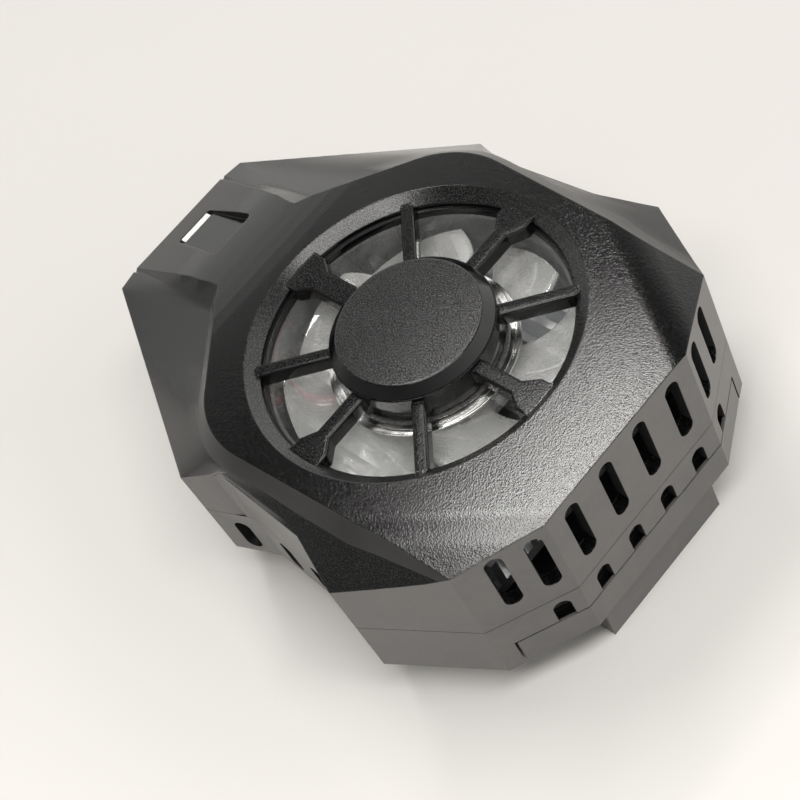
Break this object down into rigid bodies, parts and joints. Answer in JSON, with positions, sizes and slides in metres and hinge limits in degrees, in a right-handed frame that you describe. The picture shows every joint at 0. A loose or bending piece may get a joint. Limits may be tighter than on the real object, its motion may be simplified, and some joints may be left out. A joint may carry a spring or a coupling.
{
  "type": "phone cooling fan",
  "caption": "Clip-on phone cooler: faceted two-part case, round fan grille with a domed cap, vented end wall, cold plate underneath and a sprung sliding jaw.",
  "frame": {"origin": "on the fan axis, at the face of the contact pad that lies against the phone", "axes": "+X towards the sliding clip and the vent wall, +Z along the fan axis away from the phone"},
  "size_m": [0.0828, 0.0628, 0.0329],
  "materials": {
    "grained_plastic": "spark-eroded grain",
    "satin_plastic": "satin",
    "cap_plastic": "sparkling grain with a glossy bevel",
    "light_plastic": "translucent white",
    "clear_plastic": "clear moulding",
    "pad_rubber": "matte",
    "thermal_rubber": "matte",
    "spring_steel": "drawn wire",
    "motor_steel": "pressed, bright",
    "magnet": "bonded ferrite",
    "bearing_bronze": "sintered",
    "copper_winding": "enamelled wire",
    "circuit_board": "solder mask",
    "bare_aluminium": "extruded",
    "foam": "closed-cell foam",
    "ceramic": "alumina",
    "socket_steel": "plated",
    "wire_red": "wire insulation",
    "wire_black": "wire insulation",
    "screw_steel": "zinc plated"
  },
  "bodies": {
    "case": {"top_cover": "grained_plastic", "fan_grille": "grained_plastic", "hub_cap": "cap_plastic", "light_guide": "light_plastic", "lower_case": "satin_plastic", "fixed_jaw_pad": "pad_rubber", "return_springs": "spring_steel", "fan_frame": "clear_plastic", "bearing_sleeve": "bearing_bronze", "stator_core": "motor_steel", "stator_coils": "copper_winding", "motor_board": "circuit_board", "heat_sink": "bare_aluminium", "insulation_frame": "foam", "peltier_module": "ceramic", "cold_plate": "bare_aluminium", "contact_pad": "thermal_rubber", "main_board": "circuit_board", "usb_socket": "socket_steel", "status_led": "light_plastic", "red_wires": "wire_red", "black_wires": "wire_black", "case_screws": "screw_steel", "clamp_screws": "screw_steel", "fan_screws": "screw_steel", "board_screws": "screw_steel"},
    "rotor": {"fan_rotor": "clear_plastic", "rotor_yoke": "motor_steel", "magnet_ring": "magnet", "motor_shaft": "motor_steel", "shaft_clip": "motor_steel"},
    "clip": {"sliding_clip": "satin_plastic", "clip_jaw_pad": "pad_rubber"}
  },
  "joints": [
    {"name": "fan_spin", "type": "hinge", "parent": "case", "child": "rotor", "pos_m": [0, 0, 0.017], "axis": [0, 0, 1], "continuous": true},
    {"name": "clip_slide", "type": "slide", "parent": "case", "child": "clip", "axis": [1, 0, 0], "range_m": [0, 0.02], "stiffness_N_per_m": 200, "springref_m": -0.006, "deforming": ["return_springs"]}
  ]
}
